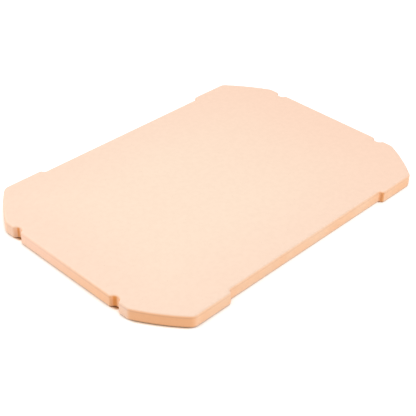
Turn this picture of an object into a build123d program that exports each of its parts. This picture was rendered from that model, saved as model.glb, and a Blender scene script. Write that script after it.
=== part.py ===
"""Rectangular baking stone: one slab of pressed and fired ceramic.

The origin is the middle of the underside. X runs along the slab, Y across it and Z up.
"""
import os

from build123d import *

os.makedirs("parts", exist_ok=True)

# Slab
slab_length = 420.0
slab_width = 297.5
slab_thickness = 15.0

# Corners, each cut off by a gently bowed arc
corner_cut_along = 37.1
corner_cut_across = 52.8
corner_bow = 2.1
corner_round = 10.0

# Long sides, set back between an end tab at each corner, with a steep rounded step at the tab
side_setback = 4.8
tab_length = 51.0
step_run = 1.5
step_round = 3.3

# Short sides, with a round notch near each corner
notch_diameter = 11.2
notch_depth = 5.2
notch_from_corner = 19.3
notch_lip_round = 4.0

# Long edges of the die: the soft arris above and the smaller one below
top_edge_round = 2.8
bottom_edge_round = 1.8

# Places worked out from these sizes
half_length = slab_length / 2
half_width = slab_width / 2
side_y = half_width - side_setback
corner_x = half_length - corner_cut_along
corner_y = half_width - corner_cut_across
step_outer_x = corner_x - tab_length + step_run / 2
step_inner_x = corner_x - tab_length - step_run / 2
notch_centre_x = half_length - notch_depth + notch_diameter / 2
notch_centre_y = corner_y - notch_from_corner

with BuildPart() as baking_stone:
    with BuildSketch(Plane.XY) as outline:
        # Half of the outline, round from the middle of one short side to the middle of the other
        with BuildLine():
            end = Line((half_length, 0), (half_length, corner_y))
            first_bow = SagittaArc(end @ 1, (corner_x, half_width), -corner_bow)
            side = FilletPolyline(
                first_bow @ 1,
                (step_outer_x, half_width),
                (step_inner_x, side_y),
                (-step_inner_x, side_y),
                (-step_outer_x, half_width),
                (-corner_x, half_width),
                radius=step_round,
            )
            second_bow = SagittaArc(side @ 1, (-half_length, corner_y), -corner_bow)
            Line(second_bow @ 1, (-half_length, 0))
            mirror(about=Plane.XZ)
        make_face()

        # The four bows are the widest arcs, and run into the straight sides through a round
        bows = outline.edges().filter_by(GeomType.CIRCLE).sort_by(SortBy.RADIUS)[-4:]
        fillet(bows.vertices(), radius=corner_round)

        # Notches, whose lips are the points where each circle leaves the short side
        with GridLocations(2 * notch_centre_x, 2 * notch_centre_y, 2, 2):
            Circle(notch_diameter / 2, mode=Mode.SUBTRACT)
        fillet(outline.vertices(Select.LAST), radius=notch_lip_round)
    extrude(amount=slab_thickness)

    # Arrises all round the top face and the underside
    fillet(baking_stone.faces().sort_by(Axis.Z)[-1].edges(), radius=top_edge_round)
    fillet(baking_stone.faces().sort_by(Axis.Z)[0].edges(), radius=bottom_edge_round)

baking_stone.part.label = "baking_stone"
export_step(baking_stone.part, "parts/baking_stone.step")
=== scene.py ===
"""A rectangular baking stone of unglazed fired ceramic, lying in a pale studio.

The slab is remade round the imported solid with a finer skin: soft arrises, the slight swell and grain
that pressing and firing leave, and one finish for the pressed body and one for the face that lay on
the kiln shelf. All lengths are in metres.
"""
import logging
import math
from dataclasses import dataclass, field
from enum import Enum

import bmesh
import bpy
from mathutils import Matrix, Quaternion, Vector, noise


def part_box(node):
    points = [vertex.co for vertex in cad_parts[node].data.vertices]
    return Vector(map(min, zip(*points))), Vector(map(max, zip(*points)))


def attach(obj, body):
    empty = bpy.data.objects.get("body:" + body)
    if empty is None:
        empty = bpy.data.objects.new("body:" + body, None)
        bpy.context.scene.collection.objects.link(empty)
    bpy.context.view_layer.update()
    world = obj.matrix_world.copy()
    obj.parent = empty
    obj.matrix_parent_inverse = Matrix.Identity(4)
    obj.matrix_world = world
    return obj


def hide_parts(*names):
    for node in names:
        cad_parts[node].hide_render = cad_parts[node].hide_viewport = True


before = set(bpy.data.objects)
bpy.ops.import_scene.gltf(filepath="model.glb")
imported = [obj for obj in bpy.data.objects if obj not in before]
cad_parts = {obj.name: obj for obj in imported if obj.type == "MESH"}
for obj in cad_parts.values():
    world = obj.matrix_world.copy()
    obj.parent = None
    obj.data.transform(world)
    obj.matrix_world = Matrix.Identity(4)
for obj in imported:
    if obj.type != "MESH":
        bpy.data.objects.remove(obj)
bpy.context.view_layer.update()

LOG = logging.getLogger("baking_stone")
SOLID_NODE = "baking_stone"
BODY = "root"
MERGE_DISTANCE = 1e-6

# Source is what an input socket takes, and Kinds gives the kind of each socket by its name
BMesh = bmesh.types.BMesh
Tree = bpy.types.NodeTree
Socket = bpy.types.NodeSocket
Sockets = dict[str, Socket]
Kinds = dict[str, str]
Source = Socket | float | tuple[float, ...]
Colour = tuple[float, float, float]

WHITE: Colour = (1.0, 1.0, 1.0)

# The sockets that a Mix node uses for colours, which share their names with its other ones
MIX_FIRST = 6
MIX_SECOND = 7
MIX_RESULT = 2

# Noise textures, and the part of their range that is spread from 0 to 1
NOISE_LOW = 0.3
NOISE_HIGH = 0.7
CLOUD_DETAIL = 3.0
CLOUD_ROUGHNESS = 0.45
GRAIN_DETAIL = 3.0
MOTTLE_DETAIL = 2.0
GRAIN_ROUGHNESS = 0.6
GRAIN_SHARE = 0.65
MOTTLE_SHARE = 0.35

# Pinholes: the smallest one, where its rim starts, how much it tints and how deep it is in the relief
PINHOLE_SMALLEST = 0.02
PINHOLE_RIM = 0.6
PINHOLE_TINT = 0.35
PINHOLE_DEPTH = 0.8

# Parts of a unit normal: its rise on walls and flat faces, and its turn on corners and in recesses
UPRIGHT_RISE = 0.1
SLOPING_RISE = 0.6
FLAT_RISE_START = 0.35
FLAT_RISE_END = 1.0
DIAGONAL_TURN = 0.55
RECESS_TURN = 0.5

# Fired ceramic without a glaze
SPECULAR_LEVEL = 0.3


class Zone(Enum):
    """Which finish a face of the slab takes, in the order of the material slots."""

    PRESSED = 0
    SHELF = 1


class Ray(Enum):
    """The kinds of ray that see the bright paper instead of the lit one."""

    CAMERA = "Is Camera Ray"
    GLOSSY = "Is Glossy Ray"
    TRANSMISSION = "Is Transmission Ray"


def finished(mesh: BMesh, name: str) -> bpy.types.Object:
    """Turns a bmesh into an object of the scene, and frees it.

    Args:
        mesh: The bmesh.
        name: The name of the object and its mesh.

    Returns:
        The object, at the origin.
    """
    data = bpy.data.meshes.new(name)
    mesh.to_mesh(data)
    mesh.free()
    thing = bpy.data.objects.new(name, data)
    bpy.context.scene.collection.objects.link(thing)
    return thing


@dataclass
class OutlinePen:
    """Draws a flat outline into a bmesh as runs and arcs, each tangent to the last.

    The outline of a quarter of the slab is walked clockwise, so the body lies on the right hand.
    """

    mesh: BMesh
    start: Vector
    facet_turn: float
    facet_run: float
    heading: float = 0.0
    tip: bmesh.types.BMVert = field(init=False)

    def __post_init__(self) -> None:
        """Puts the first point down."""
        self.tip = bmesh.ops.create_vert(self.mesh, co=self.start)["vert"][0]

    def run(self, distance: float) -> None:
        """Draws a straight run.

        Args:
            distance: How far to go along the heading.
        """
        self.tip = bmesh.ops.extrude_vert_indiv(self.mesh, verts=[self.tip])["verts"][0]
        ahead = Vector((math.cos(self.heading), math.sin(self.heading), 0.0))
        bmesh.ops.translate(self.mesh, verts=[self.tip], vec=ahead * distance)

    def arc(self, radius: float, turn: float) -> None:
        """Draws an arc, with facets short enough for its radius.

        Args:
            radius: The arc's radius.
            turn: How far the heading turns, to the left if positive.
        """
        left = Vector((-math.sin(self.heading), math.cos(self.heading), 0.0))
        centre = self.tip.co + left * math.copysign(radius, turn)
        facets = max(abs(turn) / self.facet_turn, abs(turn) * radius / self.facet_run)
        made = bmesh.ops.spin(
            self.mesh,
            geom=[self.tip],
            cent=centre,
            axis=(0.0, 0.0, 1.0),
            dvec=(0.0, 0.0, 0.0),
            angle=turn,
            steps=math.ceil(facets),
            use_merge=False,
            use_duplicate=False,
        )
        self.tip = next(item for item in made["geom_last"] if isinstance(item, bmesh.types.BMVert))
        self.heading += turn


@dataclass
class BakingStone:
    """The slab: its outline, its arrises and its skin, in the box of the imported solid."""

    length: float
    width: float
    thickness: float
    corner_cut_along: float = 0.0371
    corner_cut_across: float = 0.0528
    corner_bow: float = 0.0021
    corner_round: float = 0.010
    side_setback: float = 0.0048
    tab_length: float = 0.0510
    step_run: float = 0.0015
    step_round: float = 0.0033
    notch_diameter: float = 0.0112
    notch_depth: float = 0.0052
    notch_from_corner: float = 0.0193
    notch_lip_round: float = 0.0040
    top_edge_round: float = 0.0028
    bottom_edge_round: float = 0.0018
    facet_turn: float = math.radians(9)
    facet_run: float = 0.003
    arris_segments: int = 7
    cell: float = 0.006
    wall_rows: int = 4
    support_gap: float = 0.0003
    swell_depth: float = 0.00012
    swell_size: float = 0.075
    swell_fade: float = 0.024
    wall_unevenness: float = 0.00006
    wall_unevenness_size: float = 0.009

    def notch_floor(self) -> tuple[float, float]:
        """Gives how far along and across the slab the bottom of a notch lies."""
        corner_y = self.width / 2 - self.corner_cut_across
        return self.length / 2 - self.notch_depth, corner_y - self.notch_from_corner

    def step_middle(self) -> tuple[float, float]:
        """Gives how far along and across the slab the middle of a step lies."""
        corner_x = self.length / 2 - self.corner_cut_along
        return corner_x - self.tab_length, (self.width - self.side_setback) / 2

    def quarter(self, mesh: BMesh) -> None:
        """Draws a quarter of the outline, from the middle of a long side to that of a short side.

        Args:
            mesh: The bmesh that takes the outline.
        """
        half_length = self.length / 2
        half_width = self.width / 2
        corner = Vector((half_length - self.corner_cut_along, half_width - self.corner_cut_across))

        # The step from the set-back side to the tab
        step_turn = math.atan2(self.side_setback, self.step_run)
        step_tangent = self.step_round * math.tan(step_turn / 2)
        step_slant = math.hypot(self.side_setback, self.step_run)
        step_x = corner.x - self.tab_length

        # The bow across the corner
        chord = math.hypot(self.corner_cut_along, self.corner_cut_across)
        bow_radius = (chord**2 / 4 + self.corner_bow**2) / (2 * self.corner_bow)
        outward = Vector((self.corner_cut_across, self.corner_cut_along)) / chord
        chord_middle = Vector((corner.x + half_length, half_width + corner.y)) / 2
        bow_centre = chord_middle - outward * (bow_radius - self.corner_bow)

        # From the bow's centre to the rounds that run it into the sides
        reach = bow_radius - self.corner_round
        first = Vector((0.0, half_width - self.corner_round)) - Vector((0.0, bow_centre.y))
        first.x = math.sqrt(reach**2 - first.y**2)
        last = Vector((half_length - self.corner_round, 0.0)) - Vector((bow_centre.x, 0.0))
        last.y = math.sqrt(reach**2 - last.x**2)
        first_angle = math.atan2(first.y, first.x)
        last_angle = math.atan2(last.y, last.x)

        # The notch and its lips
        notch_radius = self.notch_diameter / 2
        notch_y = corner.y - self.notch_from_corner
        lip_reach = notch_radius + self.notch_lip_round
        lip_across = lip_reach - self.notch_depth
        lip_turn = math.acos(lip_across / lip_reach)
        lip_rise = lip_reach * math.sin(lip_turn)

        pen = OutlinePen(
            mesh=mesh,
            start=Vector((0.0, half_width - self.side_setback, 0.0)),
            facet_turn=self.facet_turn,
            facet_run=self.facet_run,
        )
        pen.run(step_x - self.step_run / 2 - step_tangent)
        pen.arc(self.step_round, step_turn)
        pen.run(step_slant - 2 * step_tangent)
        pen.arc(self.step_round, -step_turn)
        pen.run(bow_centre.x + first.x - step_x - self.step_run / 2 - step_tangent)
        pen.arc(self.corner_round, first_angle - math.pi / 2)
        pen.arc(bow_radius, last_angle - first_angle)
        pen.arc(self.corner_round, -last_angle)
        pen.run(bow_centre.y + last.y - notch_y - lip_rise)
        pen.arc(self.notch_lip_round, -lip_turn)
        pen.arc(notch_radius, 2 * lip_turn)
        pen.arc(self.notch_lip_round, -lip_turn)
        pen.run(notch_y - lip_rise)

    def blank(self, mesh: BMesh) -> None:
        """Mirrors the quarter twice, fills it and raises it to the slab's thickness.

        Args:
            mesh: The bmesh that takes the slab.
        """
        self.quarter(mesh)
        for axis in ("X", "Y"):
            outline = mesh.verts[:] + mesh.edges[:]
            bmesh.ops.mirror(mesh, geom=outline, matrix=Matrix(), merge_dist=MERGE_DISTANCE, axis=axis)
        bmesh.ops.remove_doubles(mesh, verts=mesh.verts[:], dist=MERGE_DISTANCE)
        floor_face = bmesh.ops.contextual_create(mesh, geom=mesh.edges[:])["faces"][0]
        raised = bmesh.ops.extrude_face_region(mesh, geom=[floor_face], use_keep_orig=True)["geom"]
        raised_verts = [item for item in raised if isinstance(item, bmesh.types.BMVert)]
        bmesh.ops.translate(mesh, verts=raised_verts, vec=(0.0, 0.0, self.thickness))
        bmesh.ops.recalc_face_normals(mesh, faces=mesh.faces[:])

    @staticmethod
    def flat_face(mesh: BMesh, up: float) -> bmesh.types.BMFace:
        """Finds the baking face, where up is 1, or the underside, where it is -1."""
        return max(mesh.faces, key=lambda face: face.calc_area() * face.normal.z * up)

    def ease_edges(self, mesh: BMesh) -> None:
        """Rounds the arris of both flat faces and frames each face with a narrow support ring.

        Args:
            mesh: The slab's bmesh.
        """
        for up, radius in ((1, self.top_edge_round), (-1, self.bottom_edge_round)):
            bmesh.ops.bevel(
                mesh,
                geom=self.flat_face(mesh, up).edges[:],
                offset=radius,
                offset_type="OFFSET",
                segments=self.arris_segments,
                profile=0.5,
                affect="EDGES",
                clamp_overlap=False,
                material=-1,
            )
            bmesh.ops.inset_region(
                mesh,
                faces=[self.flat_face(mesh, up)],
                thickness=self.support_gap,
                use_boundary=True,
                use_even_offset=True,
            )

    def cut_rows(self, mesh: BMesh, axis: int, places: list[float]) -> None:
        """Cuts the skin along planes square to one axis.

        Args:
            mesh: The slab's bmesh.
            axis: 0, 1 or 2 for X, Y or Z.
            places: Where each plane stands on that axis.
        """
        normal = Vector((0.0, 0.0, 0.0))
        normal[axis] = 1.0
        for place in places:
            bmesh.ops.bisect_plane(
                mesh,
                geom=mesh.verts[:] + mesh.edges[:] + mesh.faces[:],
                dist=MERGE_DISTANCE,
                plane_co=normal * place,
                plane_no=normal,
            )

    def divide(self, mesh: BMesh) -> None:
        """Divides the skin into small cells, so that it can swell and be uneven.

        Args:
            mesh: The slab's bmesh.
        """
        wall_foot = self.bottom_edge_round + self.support_gap
        wall_head = self.thickness - self.top_edge_round - self.support_gap
        row = (wall_head - wall_foot) / self.wall_rows
        self.cut_rows(mesh, 2, [wall_foot + row * count for count in range(self.wall_rows + 1)])
        for axis, size in ((0, self.length), (1, self.width)):
            cells = round(size / self.cell)
            places = [size * (count / cells - 0.5) for count in range(1, cells)]
            self.cut_rows(mesh, axis, places)

    @staticmethod
    def drift(place: Vector, size: float) -> float:
        """Gives smooth noise from 0 to 1, whose swells are about as wide as size."""
        return (1 + noise.noise(place / size)) / 2

    def weather(self, mesh: BMesh) -> None:
        """Lets the baking face swell slightly and the walls wander, never past the true size.

        Args:
            mesh: The slab's bmesh.
        """
        mesh.normal_update()
        top_flat = self.thickness - MERGE_DISTANCE
        moves = []
        for vert in mesh.verts:
            if vert.co.z > top_flat:
                inset = min(self.length / 2 - abs(vert.co.x), self.width / 2 - abs(vert.co.y))
                depth = self.swell_depth * min(1.0, inset / self.swell_fade)
                moves.append((vert, Vector((0.0, 0.0, -depth * self.drift(vert.co, self.swell_size)))))
            elif vert.co.z > MERGE_DISTANCE:
                depth = self.wall_unevenness * self.drift(vert.co, self.wall_unevenness_size)
                moves.append((vert, -vert.normal * depth))
        for vert, move in moves:
            vert.co += move

    def build(self) -> bpy.types.Object:
        """Models the slab.

        Returns:
            The slab's object, at the origin, with its place in its mesh.
        """
        mesh = bmesh.new()
        self.blank(mesh)
        self.ease_edges(mesh)
        self.divide(mesh)
        for face in mesh.faces:
            face.smooth = True
            underneath = face.calc_center_median().z < MERGE_DISTANCE
            face.material_index = (Zone.SHELF if underneath else Zone.PRESSED).value
        self.weather(mesh)
        return finished(mesh, "stone_slab")


class NodeBench:
    """Adds nodes to one node tree and links them."""

    def __init__(self, tree: Tree) -> None:
        """Keeps the node tree that it works in."""
        self.tree = tree

    def add(self, kind: str, *sources: Source, **settings: object) -> bpy.types.Node:
        """Adds a node.

        Args:
            kind: The node's type name, without the word ShaderNode.
            *sources: What its first inputs take.
            **settings: Values for the node's own properties.

        Returns:
            The new node.
        """
        node = self.tree.nodes.new("ShaderNode" + kind)
        for name, value in settings.items():
            setattr(node, name, value)
        for socket, source in zip(node.inputs, sources):
            self.feed(socket, source)
        return node

    def feed(self, socket: Socket, source: Source) -> None:
        """Links a socket to another, or sets its value.

        Args:
            socket: The input socket.
            source: An output socket, a number or a tuple of numbers.
        """
        if isinstance(source, Socket):
            self.tree.links.new(source, socket)
        else:
            socket.default_value = source

    def math(self, operation: str, first: Source, second: Source = 0.0) -> Socket:
        """Adds a Math node.

        Args:
            operation: The sum, such as ADD.
            first: The first input, a socket or a number.
            second: The second input, a socket or a number.

        Returns:
            The node's output.
        """
        return self.add("Math", first, second, operation=operation).outputs[0]

    def ramp(
        self,
        value: Source,
        low: float,
        high: float,
        start: float = 0.0,
        end: float = 1.0,
    ) -> Socket:
        """Maps a value smoothly from one range to another, clamped.

        Args:
            value: The input, a socket or a number.
            low: Where the input range starts.
            high: Where the input range ends.
            start: What comes out at low.
            end: What comes out at high.

        Returns:
            The mapped value.
        """
        node = self.add("MapRange", interpolation_type="SMOOTHSTEP")
        limits = {"Value": value, "From Min": low, "From Max": high, "To Min": start, "To Max": end}
        for name, source in limits.items():
            self.feed(node.inputs[name], source)
        return node.outputs["Result"]

    def blend(self, factor: Source, first: Source, second: Source) -> Socket:
        """Mixes two colours.

        Args:
            factor: How much of the second shows, a socket or a number.
            first: The first colour, a socket or four numbers.
            second: The second colour, a socket or four numbers.

        Returns:
            The mixed colour.
        """
        node = self.add("Mix", factor, data_type="RGBA")
        self.feed(node.inputs[MIX_FIRST], first)
        self.feed(node.inputs[MIX_SECOND], second)
        return node.outputs[MIX_RESULT]

    def filter(self, colour: Source, tint: Source, depth: Source) -> Socket:
        """Deepens a colour through a tinted filter, whose half shades stay warm.

        Args:
            colour: The colour to deepen, a socket or four numbers.
            tint: What is left of white at a depth of 1, a socket or four numbers.
            depth: How thick the filter is, a socket or a number.

        Returns:
            The deepened colour.
        """
        layer = self.add("Gamma", tint, depth)
        node = self.add("Mix", 1.0, data_type="RGBA", blend_type="MULTIPLY")
        self.feed(node.inputs[MIX_FIRST], colour)
        self.feed(node.inputs[MIX_SECOND], layer.outputs[0])
        return node.outputs[MIX_RESULT]

    def group(self, tree: Tree, **values: Source) -> bpy.types.Node:
        """Places a node group.

        Args:
            tree: The group's node tree.
            **values: Its inputs by name, with _ for a space.

        Returns:
            The group node.
        """
        node = self.add("Group", node_tree=tree)
        for name, source in values.items():
            self.feed(node.inputs[name.replace("_", " ")], source)
        return node


def cleared(owner: bpy.types.Material | bpy.types.World) -> NodeBench:
    """Turns on the nodes of a material or a world, and clears them.

    Args:
        owner: The material or world.

    Returns:
        The bench of its tree.
    """
    owner.use_nodes = True
    owner.node_tree.nodes.clear()
    return NodeBench(owner.node_tree)


def new_group(name: str, inputs: Kinds, outputs: Kinds) -> tuple[NodeBench, Sockets, Sockets]:
    """Starts a shader node group with named sockets.

    Args:
        name: The group's name.
        inputs: Each input's name and kind, such as Float.
        outputs: Each output's name and kind.

    Returns:
        The bench of the group's tree, its inputs by name, and the sockets that take its outputs by name.
    """
    tree = bpy.data.node_groups.new(name, "ShaderNodeTree")
    for way, sockets in (("INPUT", inputs), ("OUTPUT", outputs)):
        for socket, kind in sockets.items():
            tree.interface.new_socket(socket, in_out=way, socket_type="NodeSocket" + kind)
    entry = tree.nodes.new("NodeGroupInput")
    leave = tree.nodes.new("NodeGroupOutput")
    given = {socket: entry.outputs[socket] for socket in inputs}
    taken = {socket: leave.inputs[socket] for socket in outputs}
    return NodeBench(tree), given, taken


def cloud_group() -> Tree:
    """Makes the group that clouds one fired tone with another.

    Returns:
        The group's node tree.
    """
    bench, given, taken = new_group(
        "fired_clouds",
        {"Place": "Vector", "First Tone": "Color", "Second Tone": "Color", "Size": "Float"},
        {"Tone": "Color"},
    )
    clouds = bench.add("TexNoise", given["Place"], noise_dimensions="3D")
    bench.feed(clouds.inputs["Scale"], bench.math("DIVIDE", 1.0, given["Size"]))
    bench.feed(clouds.inputs["Detail"], CLOUD_DETAIL)
    bench.feed(clouds.inputs["Roughness"], CLOUD_ROUGHNESS)
    share = bench.ramp(clouds.outputs[0], NOISE_LOW, NOISE_HIGH)
    bench.feed(taken["Tone"], bench.blend(share, given["First Tone"], given["Second Tone"]))
    return bench.tree


def grain_group() -> Tree:
    """Makes the group for the sandy grain of pressed ceramic.

    Returns:
        The group's node tree.
    """
    bench, given, taken = new_group(
        "pressed_grain",
        {"Place": "Vector", "Grain": "Float", "Mottle": "Float"},
        {"Height": "Float", "Speckle": "Float", "Blotch": "Float"},
    )
    layers = []
    for size, detail in (("Grain", GRAIN_DETAIL), ("Mottle", MOTTLE_DETAIL)):
        layer = bench.add("TexNoise", given["Place"], noise_dimensions="3D")
        bench.feed(layer.inputs["Scale"], bench.math("DIVIDE", 1.0, given[size]))
        bench.feed(layer.inputs["Detail"], detail)
        bench.feed(layer.inputs["Roughness"], GRAIN_ROUGHNESS)
        layers.append(layer.outputs[0])
    grain, mottle = layers
    fine = bench.math("MULTIPLY", grain, GRAIN_SHARE)
    coarse = bench.math("MULTIPLY", mottle, MOTTLE_SHARE)
    bench.feed(taken["Height"], bench.math("ADD", fine, coarse))
    bench.feed(taken["Speckle"], bench.ramp(grain, NOISE_LOW, NOISE_HIGH))
    bench.feed(taken["Blotch"], bench.ramp(mottle, NOISE_LOW, NOISE_HIGH))
    return bench.tree


def pinhole_group() -> Tree:
    """Makes the group for scattered pinholes and iron specks, one in each chosen cell.

    Returns:
        The group's node tree.
    """
    bench, given, taken = new_group(
        "pinholes",
        {"Place": "Vector", "Spacing": "Float", "Share": "Float", "Radius": "Float"},
        {"Mask": "Float"},
    )
    cells = bench.add("TexVoronoi", given["Place"], feature="F1", voronoi_dimensions="3D")
    bench.feed(cells.inputs["Scale"], bench.math("DIVIDE", 1.0, given["Spacing"]))
    chance = bench.add("SeparateColor", cells.outputs["Color"])
    chosen = bench.math("LESS_THAN", chance.outputs[0], given["Share"])
    size = bench.math("MULTIPLY", given["Radius"], chance.outputs[1])
    size = bench.math("MAXIMUM", size, PINHOLE_SMALLEST)
    reach = bench.math("DIVIDE", cells.outputs["Distance"], size)
    hole = bench.ramp(reach, PINHOLE_RIM, 1.0, 1.0, 0.0)
    bench.feed(taken["Mask"], bench.math("MULTIPLY", hole, chosen))
    return bench.tree


def facing_group() -> Tree:
    """Makes the group that tells which way the skin of a slab faces.

    Flat is 1 on the flat faces, Upright on the walls below the arris, Endward on walls that face
    along the slab and Sideward on walls that face across it. Corner is 1 on walls that face a corner
    where X and Y have the same sign, and Flank on walls that face one of the other two.

    Returns:
        The group's node tree.
    """
    bench, given, taken = new_group(
        "slab_facing",
        {"Normal": "Vector"},
        dict.fromkeys(("Flat", "Upright", "Corner", "Flank", "Endward", "Sideward"), "Float"),
    )
    parts = bench.add("SeparateXYZ", given["Normal"])
    endward, sideward, rise = (bench.math("ABSOLUTE", parts.outputs[count]) for count in range(3))
    bench.feed(taken["Flat"], bench.ramp(rise, FLAT_RISE_START, FLAT_RISE_END))
    bench.feed(taken["Upright"], bench.ramp(rise, UPRIGHT_RISE, SLOPING_RISE, 1.0, 0.0))
    product = bench.math("MULTIPLY", parts.outputs[0], parts.outputs[1])
    bench.feed(taken["Corner"], bench.ramp(product, 0.0, DIAGONAL_TURN))
    bench.feed(taken["Flank"], bench.ramp(product, 0.0, -DIAGONAL_TURN))
    bench.feed(taken["Endward"], endward)
    bench.feed(taken["Sideward"], sideward)
    return bench.tree


def band_group() -> Tree:
    """Makes the group for a soft band round a place on one axis.

    Returns:
        The group's node tree.
    """
    bench, given, taken = new_group(
        "soft_band",
        {"Value": "Float", "Middle": "Float", "Half Width": "Float"},
        {"Mask": "Float"},
    )
    away = bench.math("ABSOLUTE", bench.math("SUBTRACT", given["Value"], given["Middle"]))
    share = bench.math("DIVIDE", away, given["Half Width"])
    bench.feed(taken["Mask"], bench.ramp(share, 0.0, 1.0, 1.0, 0.0))
    return bench.tree


def recess_group() -> Tree:
    """Makes the group for the turned walls near one spot, in all four quarters of the slab.

    Turn is how far a wall is turned away from the way its side faces, and Core the share of Reach
    that is covered in full.

    Returns:
        The group's node tree.
    """
    bench, given, taken = new_group(
        "recess_walls",
        dict.fromkeys(("Along", "Across", "Reach", "Core", "Turn"), "Float") | {"Place": "Vector"},
        {"Mask": "Float"},
    )
    parts = bench.add("SeparateXYZ", given["Place"])
    squares = []
    for axis, spot in enumerate(("Along", "Across")):
        away = bench.math("SUBTRACT", bench.math("ABSOLUTE", parts.outputs[axis]), given[spot])
        squares.append(bench.math("POWER", away, 2.0))
    distance = bench.math("SQRT", bench.math("ADD", squares[0], squares[1]))
    near = bench.ramp(bench.math("DIVIDE", distance, given["Reach"]), given["Core"], 1.0, 1.0, 0.0)
    turned = bench.ramp(given["Turn"], 0.0, RECESS_TURN)
    bench.feed(taken["Mask"], bench.math("MULTIPLY", near, turned))
    return bench.tree


@dataclass(frozen=True)
class PressedBody:
    """The finish of the faces that the die pressed: pale above, partly as a painted highlight, and deeper
    on the walls.
    """

    # Baking face: paler than the walls, partly its own tone and partly a painted highlight
    top_middle: Colour = (0.942, 0.736, 0.579)
    top_edge: Colour = (0.94, 0.704, 0.556)
    edge_band: float = 0.097
    # A pinker, darker tone towards the +X end: partly the face's own blush, partly painted shade where
    # less light falls
    blush_and_shade: Colour = (0.948, 0.668, 0.516)
    blush_and_shade_start: float = -0.044
    blush_and_shade_end: float = 0.284

    # Walls: the long sides, the short sides with their outer parts, and the cut corners
    wall: Colour = (0.94, 0.57, 0.35)
    wall_cloud: Colour = (0.94, 0.625, 0.42)
    cloud_size: float = 0.036
    end_deep: Colour = (0.93, 0.54, 0.325)
    end_pale: Colour = (0.95, 0.64, 0.495)
    end_share: float = 0.8
    end_fade: float = 0.07
    tab: Colour = (0.88, 0.60, 0.45)
    tab_fade: float = 0.01
    # Painted shade on the cut corners at -X -Y and +X +Y, kept in full only at -X -Y, which faces neither
    # side lamp
    corner: Colour = (0.97, 0.505, 0.255)
    corner_shade_loss: float = 0.7
    # A duller tone painted on the bows at -X +Y and +X -Y, which face the side lamps, to hold back the
    # lamps' highlight there
    flank_dimmed_highlight: Colour = (0.88, 0.56, 0.38)

    # Notches and steps: painted shade on the walls inside them
    recess_shade: Colour = (0.82, 0.325, 0.075)
    notch_shade_share: float = 0.85
    notch_shade_reach: float = 0.0063
    notch_shade_core: float = 0.7
    notch_shade_narrowing: float = 0.2
    step_shade_share: float = 0.63
    step_shade_reach: float = 0.0028
    step_shade_core: float = 0.3
    step_shade_lean: float = 0.0012

    # A darker line painted just under the top arris
    arris_line: Colour = (0.86, 0.865, 0.93)
    arris_line_share: float = 0.85
    arris_line_loss: float = 0.6
    side_line_start: float = 0.7
    side_line_loss: float = 0.3
    arris_line_drop: float = 0.0029
    arris_line_half_width: float = 0.0014

    # Painted shade at the foot of the walls, lightest on the long sides and darkest at the corners and in
    # the notches
    foot_shade: Colour = (0.72, 0.53, 0.42)
    side_foot_shade: Colour = (0.71, 0.61, 0.54)
    corner_foot_shade: Colour = (0.10, 0.05, 0.02)
    foot_shade_share: float = 0.5
    foot_shade_height: float = 0.003

    # Grain and pinholes
    pinhole: Colour = (0.55, 0.33, 0.2)
    grain: float = 0.0005
    mottle: float = 0.0055
    speckle_share: float = 0.01
    blotch_share: float = 0.05
    pinhole_spacing: float = 0.004
    pinhole_share: float = 0.35
    pinhole_radius: float = 0.12
    roughness: float = 0.92
    bump_depth: float = 0.00012
    bump_strength: float = 0.22


@dataclass(frozen=True)
class ShelfFace:
    """The finish of the underside, which lay on the kiln shelf: duller, with the shelf's faint print."""

    tone: Colour = (0.90, 0.64, 0.46)
    cloud: Colour = (0.86, 0.60, 0.43)
    pinhole: Colour = (0.5, 0.3, 0.18)
    cloud_size: float = 0.05
    grain: float = 0.0007
    mottle: float = 0.005
    speckle_share: float = 0.04
    blotch_share: float = 0.06
    pinhole_spacing: float = 0.0045
    pinhole_share: float = 0.5
    pinhole_radius: float = 0.14
    roughness: float = 0.95
    bump_depth: float = 0.00016
    bump_strength: float = 0.45


def opaque(colour: Colour) -> tuple[float, float, float, float]:
    """Gives a colour with full alpha."""
    return (*colour, 1.0)


@dataclass
class CeramicGroups:
    """The node groups that the materials share, each built once."""

    clouds: Tree = field(default_factory=cloud_group)
    grains: Tree = field(default_factory=grain_group)
    pinholes: Tree = field(default_factory=pinhole_group)
    facing: Tree = field(default_factory=facing_group)
    bands: Tree = field(default_factory=band_group)
    recesses: Tree = field(default_factory=recess_group)


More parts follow.
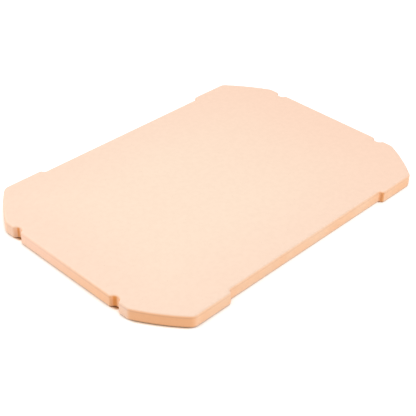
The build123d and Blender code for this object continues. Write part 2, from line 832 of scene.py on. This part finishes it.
@dataclass
class PressedSkin:
    """Colours the pressed skin by where a spot lies and how it faces.

    Paling rises from 0 to 1 across the slab, from the deeper to the paler half of a short side, and
    held is how much of the corners' painted shade is left there.
    """

    bench: NodeBench
    stone: BakingStone
    finish: PressedBody
    groups: CeramicGroups
    place: Socket = field(init=False)
    along: Socket = field(init=False)
    across: Socket = field(init=False)
    height: Socket = field(init=False)
    facing: Sockets = field(init=False)
    paling: Socket = field(init=False)
    shade_held: Socket = field(init=False)
    corner: Socket = field(init=False)
    end_share: Socket = field(init=False)

    def __post_init__(self) -> None:
        """Reads where a spot lies and how it faces."""
        bench = self.bench
        finish = self.finish
        where = bench.add("TexCoord")
        self.place = where.outputs["Object"]
        self.along, self.across, self.height = bench.add("SeparateXYZ", self.place).outputs
        facing = bench.group(self.groups.facing, Normal=where.outputs["Normal"])
        self.facing = {output.name: output for output in facing.outputs}
        self.paling = bench.ramp(self.across, -finish.end_fade, finish.end_fade)
        # How much of the corners' painted shade stays: all of it in the deeper half, under a third in the
        # paler half
        self.shade_held = bench.math("SUBTRACT", 1.0, bench.math("MULTIPLY", self.paling, finish.corner_shade_loss))
        self.corner = bench.math("MULTIPLY", self.facing["Corner"], self.shade_held)
        self.end_share = bench.math("MULTIPLY", self.facing["Endward"], finish.end_share)

    def top(self) -> Socket:
        """Makes the baking face's colour: paler in the middle, with a blush towards one short side that is
        partly painted shade.

        Returns:
            The colour.
        """
        bench = self.bench
        finish = self.finish
        insets = [
            bench.math("SUBTRACT", size / 2, bench.math("ABSOLUTE", place))
            for place, size in ((self.along, self.stone.length), (self.across, self.stone.width))
        ]
        middle = bench.ramp(bench.math("MINIMUM", *insets), 0.0, finish.edge_band)
        top = bench.blend(middle, opaque(finish.top_edge), opaque(finish.top_middle))
        blushed_and_shaded = bench.ramp(self.along, finish.blush_and_shade_start, finish.blush_and_shade_end)
        return bench.blend(blushed_and_shaded, top, opaque(finish.blush_and_shade))

    def wall(self) -> Socket:
        """Makes the walls' colour, which differs from side to side, with painted shade on two cut corners
        and a duller tone painted on the other two.

        Returns:
            The colour.
        """
        bench = self.bench
        finish = self.finish
        clouded = bench.group(
            self.groups.clouds,
            Place=self.place,
            First_Tone=opaque(finish.wall),
            Second_Tone=opaque(finish.wall_cloud),
            Size=finish.cloud_size,
        )
        end_tone = bench.blend(self.paling, opaque(finish.end_deep), opaque(finish.end_pale))
        tab_start = self.stone.notch_floor()[1]
        tab = bench.ramp(bench.math("ABSOLUTE", self.across), tab_start, tab_start + finish.tab_fade)
        end_tone = bench.blend(tab, end_tone, opaque(finish.tab))
        deep = bench.blend(self.end_share, clouded.outputs["Tone"], end_tone)
        # Painted shade on the cut corners
        deep = bench.blend(self.corner, deep, opaque(finish.corner))
        # Duller tone painted on the bows that face the side lamps, against their highlight
        return bench.blend(self.facing["Flank"], deep, opaque(finish.flank_dimmed_highlight))

    def recess_shade(self) -> Socket:
        """Finds the walls inside the notches and steps, which take painted shade.

        Returns:
            How much of the painted shade a spot takes.
        """
        bench = self.bench
        finish = self.finish
        narrowing = bench.math("MULTIPLY", self.paling, -finish.notch_shade_reach * finish.notch_shade_narrowing)
        notch_shade_reach = bench.math("ADD", finish.notch_shade_reach, narrowing)
        step_along, step_across = self.stone.step_middle()
        step = (step_along + finish.step_shade_lean, step_across)
        recess_shade = 0.0
        for (along, across), reach, core, share, turn in (
            (self.stone.notch_floor(), notch_shade_reach, finish.notch_shade_core, finish.notch_shade_share, "Sideward"),
            (step, finish.step_shade_reach, finish.step_shade_core, finish.step_shade_share, "Endward"),
        ):
            spot = bench.group(
                self.groups.recesses,
                Place=self.place,
                Along=along,
                Across=across,
                Reach=reach,
                Core=core,
                Turn=self.facing[turn],
            )
            recess_shade = bench.math("MAXIMUM", bench.math("MULTIPLY", spot.outputs["Mask"], share), recess_shade)
        return bench.math("MULTIPLY", recess_shade, self.facing["Upright"])

    def arris_line(self, tone: Socket, recess_shade: Socket) -> Socket:
        """Draws a darker line just under the top arris, fainter on the paler and the long sides.

        Args:
            tone: The colour so far.
            recess_shade: How far inside a notch or step a spot is, where there is no line.

        Returns:
            The colour with the line.
        """
        bench = self.bench
        finish = self.finish
        pale_end = bench.math("MULTIPLY", self.paling, self.end_share)
        end_loss = bench.math("MULTIPLY", pale_end, finish.arris_line_loss)
        sideward = self.facing["Sideward"]
        side_loss = bench.ramp(sideward, finish.side_line_start, 1.0, 0.0, finish.side_line_loss)
        gone = bench.math("MAXIMUM", recess_shade, bench.math("MAXIMUM", end_loss, side_loss))
        share = bench.math("MULTIPLY", bench.math("SUBTRACT", 1.0, gone), finish.arris_line_share)
        band = bench.group(
            self.groups.bands,
            Value=self.height,
            Middle=self.stone.thickness - finish.arris_line_drop,
            Half_Width=finish.arris_line_half_width,
        )
        depth = bench.math("MULTIPLY", band.outputs["Mask"], share)
        return bench.filter(tone, opaque(finish.arris_line), depth)

    def foot_shade(self, tone: Socket, recess_shade: Socket) -> Socket:
        """Paints shade at the foot of the walls, most of all at two corners and in the notches.

        Args:
            tone: The colour so far.
            recess_shade: How far inside a notch or step a spot is.

        Returns:
            The colour with the painted shade at the foot.
        """
        bench = self.bench
        finish = self.finish
        foot_shade = bench.blend(self.facing["Endward"], opaque(finish.side_foot_shade), opaque(finish.foot_shade))
        darker = bench.math("MAXIMUM", self.corner, bench.math("MULTIPLY", recess_shade, self.shade_held))
        foot_shade = bench.blend(darker, foot_shade, opaque(finish.corner_foot_shade))
        band = bench.group(self.groups.bands, Value=self.height, Middle=0.0, Half_Width=finish.foot_shade_height)
        share = bench.math("MULTIPLY", band.outputs["Mask"], finish.foot_shade_share)
        return bench.blend(share, tone, foot_shade)

    def tone(self) -> Socket:
        """Puts the skin's colour together.

        Returns:
            The colour before grain.
        """
        recess_shade = self.recess_shade()
        # Painted shade on the walls inside the notches and steps
        deep = self.bench.blend(recess_shade, self.wall(), opaque(self.finish.recess_shade))
        # The flat faces take the paler top colour, which is partly a painted highlight
        tone = self.bench.blend(self.facing["Flat"], deep, self.top())
        return self.foot_shade(self.arris_line(tone, recess_shade), recess_shade)


@dataclass
class CeramicDresser:
    """Makes the slab's two materials out of the shared groups."""

    stone: BakingStone
    body: PressedBody = PressedBody()
    shelf: ShelfFace = ShelfFace()
    groups: CeramicGroups = field(default_factory=CeramicGroups)

    @staticmethod
    def start(name: str, roughness: float) -> tuple[bpy.types.Material, NodeBench, bpy.types.Node]:
        """Starts a material with a plain, rough Principled shader.

        Args:
            name: The material's name.
            roughness: The shader's roughness.

        Returns:
            The material, the bench of its tree and its shader.
        """
        material = bpy.data.materials.new(name)
        bench = cleared(material)
        shader = bench.add("BsdfPrincipled")
        bench.add("OutputMaterial", shader.outputs[0])
        shader.inputs["Roughness"].default_value = roughness
        shader.inputs["Specular IOR Level"].default_value = SPECULAR_LEVEL
        return material, bench, shader

    def surface(
        self,
        bench: NodeBench,
        shader: bpy.types.Node,
        finish: PressedBody | ShelfFace,
        place: Socket,
        tone: Socket,
    ) -> None:
        """Adds grain, specks and pinholes to a tone and gives the shader its colour and relief.

        Args:
            bench: The bench of the material's tree.
            shader: The material's shader.
            finish: The finish's values.
            place: Object coordinates.
            tone: The colour before grain.
        """
        grain = bench.group(self.groups.grains, Place=place, Grain=finish.grain, Mottle=finish.mottle)
        holes = bench.group(
            self.groups.pinholes,
            Place=place,
            Spacing=finish.pinhole_spacing,
            Share=finish.pinhole_share,
            Radius=finish.pinhole_radius,
        )
        speckle = bench.math("MULTIPLY", grain.outputs["Speckle"], finish.speckle_share)
        blotch = bench.math("MULTIPLY", grain.outputs["Blotch"], finish.blotch_share)
        dusky = bench.math("ADD", speckle, blotch)
        sandy = bench.blend(dusky, tone, opaque(finish.pinhole))
        hole = bench.math("MULTIPLY", holes.outputs["Mask"], PINHOLE_TINT)
        bench.feed(shader.inputs["Base Color"], bench.blend(hole, sandy, opaque(finish.pinhole)))
        sunk = bench.math("MULTIPLY", holes.outputs["Mask"], PINHOLE_DEPTH)
        bump = bench.add("Bump")
        bench.feed(bump.inputs["Height"], bench.math("SUBTRACT", grain.outputs["Height"], sunk))
        bench.feed(bump.inputs["Distance"], finish.bump_depth)
        bench.feed(bump.inputs["Strength"], finish.bump_strength)
        bench.feed(shader.inputs["Normal"], bump.outputs[0])

    def pressed_material(self) -> bpy.types.Material:
        """Makes the finish of the baking face, the walls and the arrises.

        Returns:
            The material.
        """
        material, bench, shader = self.start("pressed_body", self.body.roughness)
        skin = PressedSkin(bench, self.stone, self.body, self.groups)
        self.surface(bench, shader, self.body, skin.place, skin.tone())
        return material

    def shelf_material(self) -> bpy.types.Material:
        """Makes the finish of the underside.

        Returns:
            The material.
        """
        finish = self.shelf
        material, bench, shader = self.start("shelf_face", finish.roughness)
        place = bench.add("TexCoord").outputs["Object"]
        tone = bench.group(
            self.groups.clouds,
            Place=place,
            First_Tone=opaque(finish.tone),
            Second_Tone=opaque(finish.cloud),
            Size=finish.cloud_size,
        )
        self.surface(bench, shader, finish, place, tone.outputs["Tone"])
        return material

    def dress(self, piece: bpy.types.Object) -> None:
        """Gives the slab its materials, in the order of the zones.

        Args:
            piece: The slab's object.
        """
        makers = {Zone.PRESSED: self.pressed_material, Zone.SHELF: self.shelf_material}
        for zone in Zone:
            piece.data.materials.append(makers[zone]())


@dataclass(frozen=True)
class Shade:
    """One layer of shade on the paper.

    It is full where the sky within reach is open by closed or less, and gone where it is by opened.
    """

    colour: Source
    reach: Source
    closed: Source
    opened: Source
    share: Source


@dataclass
class Studio:
    """White paper, three soft lamps and the camera."""

    stone: BakingStone
    recesses: Tree

    # Paper, as the slab is lit by it and as the camera sees it
    paper_size: float = 2.6
    paper_bounce: float = 0.88
    paper_seen: float = 0.97
    paper_lift: float = 0.26

    # The gap under the arris, from the duller to the brighter end of the slab
    gap_shade: Colour = (0.66, 0.53, 0.43)
    gap_reach: float = 0.006
    gap_closed: float = 0.15
    gap_open: float = 0.90
    bright_shade: Colour = (0.80, 0.67, 0.56)
    bright_reach: float = 0.004
    bright_open: float = 0.60
    bright_rise: float = 0.35
    lee_shade: Colour = (0.36, 0.20, 0.10)
    lee_fade: float = 0.15

    # The hollow of a notch
    hollow_shade: Colour = (0.46, 0.21, 0.075)
    hollow_reach: float = 0.012
    hollow_closed: float = 0.28
    hollow_open: float = 0.66
    hollow_radius: float = 0.0070
    hollow_core: float = 0.5
    hollow_lean: float = 0.0045
    shade_samples: int = 16

    # Lamps and room
    world_light: float = 0.57
    top_power: float = 2.9
    top_size: float = 1.6
    top_height: float = 1.5
    left_power: float = 54.5
    right_power: float = 42.3
    side_size: float = 0.85
    side_distance: float = 3.0
    side_height: float = 1.73
    left_bearing: float = math.radians(-136.0)
    right_bearing: float = math.radians(21.0)

    # Camera
    camera_azimuth: float = math.radians(-46.198)
    camera_elevation: float = math.radians(35.340)
    camera_roll: float = math.radians(1.276)
    camera_distance: float = 1.12203
    camera_right: float = -0.002749
    camera_up: float = -0.018005
    focal_length: float = 86.124
    sensor_width: float = 36.0

    def seen_as_paper(self, bench: NodeBench) -> Socket:
        """Finds the rays that see the paper and the room as white.

        Args:
            bench: The bench of a floor or world tree.

        Returns:
            1 for camera, glossy and transmission rays, and 0 for the rest.
        """
        path = bench.add("LightPath")
        seen = 0.0
        for ray in Ray:
            seen = bench.math("MAXIMUM", path.outputs[ray.value], seen)
        return seen

    def lee(self, bench: NodeBench, place: Socket) -> Socket:
        """Finds the paper in front of the near corner, which neither side lamp faces.

        Args:
            bench: The bench of the paper's tree.
            place: Object coordinates.

        Returns:
            1 in front of the corner's bow, and 0 along the straight sides.
        """
        parts = bench.add("SeparateXYZ", place)
        shares = []
        for axis, size, cut in (
            (0, self.stone.length, self.stone.corner_cut_along),
            (1, self.stone.width, self.stone.corner_cut_across),
        ):
            past = bench.math("SUBTRACT", cut - size / 2, parts.outputs[axis])
            shares.append(bench.math("DIVIDE", past, cut))
        return bench.ramp(bench.math("MINIMUM", shares[0], shares[1]), 0.0, self.lee_fade)

    def gap(self, bench: NodeBench, place: Socket) -> Shade:
        """Makes the thin shade in the gap under the lower arris.

        Args:
            bench: The bench of the paper's tree.
            place: Object coordinates.

        Returns:
            The layer of shade.
        """
        parts = bench.add("SeparateXYZ", place)
        half_length = self.stone.length / 2
        rise = bench.ramp(parts.outputs[0], -half_length, half_length)
        bright = bench.math("POWER", rise, self.bright_rise)
        colour = bench.blend(bright, opaque(self.gap_shade), opaque(self.bright_shade))
        return Shade(
            colour=bench.blend(self.lee(bench, place), colour, opaque(self.lee_shade)),
            reach=bench.ramp(bright, 0.0, 1.0, self.gap_reach, self.bright_reach),
            closed=self.gap_closed,
            opened=bench.ramp(bright, 0.0, 1.0, self.gap_open, self.bright_open),
            share=1.0,
        )

    def hollow(self, bench: NodeBench, place: Socket) -> Shade:
        """Makes the dark shade in the hollow of each notch.

        Args:
            bench: The bench of the paper's tree.
            place: Object coordinates.

        Returns:
            The layer of shade.
        """
        along, across = self.stone.notch_floor()
        leaning = bench.add("VectorMath", place, (0.0, -self.hollow_lean, 0.0), operation="ADD")
        spot = bench.group(
            self.recesses,
            Place=leaning.outputs[0],
            Along=along,
            Across=across,
            Reach=self.hollow_radius,
            Core=self.hollow_core,
            Turn=1.0,
        )
        return Shade(
            colour=opaque(self.hollow_shade),
            reach=self.hollow_reach,
            closed=self.hollow_closed,
            opened=self.hollow_open,
            share=spot.outputs["Mask"],
        )

    def shaded(self, bench: NodeBench, place: Socket) -> tuple[Source, Source]:
        """Shades the paper that the camera sees, close round the slab.

        Args:
            bench: The bench of the paper's tree.
            place: Object coordinates.

        Returns:
            The paper's colour, and how open it lies, from 0 under the arris to 1 in the clear.
        """
        colour = opaque((self.paper_seen,) * 3)
        open_share = 1.0
        for shade in (self.gap(bench, place), self.hollow(bench, place)):
            nearby = bench.add("AmbientOcclusion", samples=self.shade_samples)
            bench.feed(nearby.inputs["Distance"], shade.reach)
            clear = bench.ramp(nearby.outputs["AO"], shade.closed, shade.opened)
            clear = bench.math("MAXIMUM", clear, bench.math("SUBTRACT", 1.0, shade.share))
            colour = bench.filter(colour, shade.colour, bench.math("SUBTRACT", 1.0, clear))
            open_share = bench.math("MULTIPLY", clear, open_share)
        return colour, open_share

    def paper_material(self) -> bpy.types.Material:
        """Makes the paper's material: lit paper for the slab, and whiter paper for the camera.

        Returns:
            The material.
        """
        material = bpy.data.materials.new("white_paper")
        bench = cleared(material)
        bounce = bench.add("BsdfDiffuse", opaque((self.paper_bounce,) * 3))
        colour, open_share = self.shaded(bench, bench.add("TexCoord").outputs["Object"])
        seen = bench.add("BsdfDiffuse", colour)
        lift = bench.add("Emission")
        bench.feed(lift.inputs["Strength"], bench.math("MULTIPLY", open_share, self.paper_lift))
        whiter = bench.add("AddShader", seen.outputs[0], lift.outputs[0])
        choice = bench.add("MixShader", self.seen_as_paper(bench), bounce.outputs[0], whiter.outputs[0])
        bench.add("OutputMaterial", choice.outputs[0])
        return material

    def paper(self) -> None:
        """Lays the paper that the slab rests on."""
        mesh = bmesh.new()
        bmesh.ops.create_grid(mesh, x_segments=1, y_segments=1, size=self.paper_size / 2)
        sheet = finished(mesh, "paper")
        sheet.data.materials.append(self.paper_material())

    def sky(self) -> None:
        """Lights the room from all round, and shows it white."""
        world = bpy.data.worlds.new("white_room")
        bench = cleared(world)
        strength = bench.math("MAXIMUM", self.seen_as_paper(bench), self.world_light)
        backdrop = bench.add("Background", opaque(WHITE), strength)
        bench.add("OutputWorld", backdrop.outputs[0])
        bpy.context.scene.world = world

    def lamp(self, name: str, place: Vector, power: float, size: float) -> None:
        """Hangs a square soft lamp that looks at the middle of the slab.

        Args:
            name: The lamp's name.
            place: Where it hangs.
            power: Its power in watts.
            size: The length of its side.
        """
        data = bpy.data.lights.new(name, "AREA")
        data.shape = "SQUARE"
        data.size = size
        data.energy = power
        lamp = bpy.data.objects.new(name, data)
        lamp.location = place
        lamp.rotation_euler = place.to_track_quat("Z", "Y").to_euler()
        bpy.context.scene.collection.objects.link(lamp)

    def lamps(self) -> None:
        """Hangs one lamp overhead and one at each side of the view."""
        self.lamp("top_lamp", Vector((0.0, 0.0, self.top_height)), self.top_power, self.top_size)
        sides = (
            ("left_lamp", self.left_bearing, self.left_power),
            ("right_lamp", self.right_bearing, self.right_power),
        )
        for name, bearing, power in sides:
            across = Vector((math.sin(bearing), -math.cos(bearing), 0.0)) * self.side_distance
            self.lamp(name, across + Vector((0.0, 0.0, self.side_height)), power, self.side_size)

    def camera(self) -> None:
        """Sets the camera up at the angle of the photograph."""
        flat = math.cos(self.camera_elevation)
        back = Vector(
            (
                math.sin(self.camera_azimuth) * flat,
                -math.cos(self.camera_azimuth) * flat,
                math.sin(self.camera_elevation),
            )
        )
        turn = back.to_track_quat("Z", "Y") @ Quaternion((0.0, 0.0, 1.0), self.camera_roll)
        offset = Vector((self.camera_right, self.camera_up, self.camera_distance))
        data = bpy.data.cameras.new("camera")
        data.lens = self.focal_length
        data.sensor_width = self.sensor_width
        eye = bpy.data.objects.new("camera", data)
        eye.rotation_mode = "QUATERNION"
        eye.rotation_quaternion = turn
        eye.location = turn @ offset
        bpy.context.scene.collection.objects.link(eye)
        bpy.context.scene.camera = eye

    def build(self) -> None:
        """Sets the whole studio up."""
        self.paper()
        self.sky()
        self.lamps()
        self.camera()
        bpy.context.scene.view_settings.view_transform = "Standard"


def main() -> None:
    """Builds the slab, dresses it and sets the studio round it."""
    logging.basicConfig(level=logging.INFO, format="%(name)s: %(message)s")
    low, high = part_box(SOLID_NODE)
    size = high - low
    stone = BakingStone(length=size.x, width=size.y, thickness=size.z)
    slab = stone.build()
    dresser = CeramicDresser(stone)
    dresser.dress(slab)
    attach(slab, BODY)
    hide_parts(SOLID_NODE)
    LOG.info("%s: %d faces, rides on %s", slab.name, len(slab.data.polygons), BODY)
    Studio(stone, dresser.groups.recesses).build()


if __name__ == "__main__":
    main()
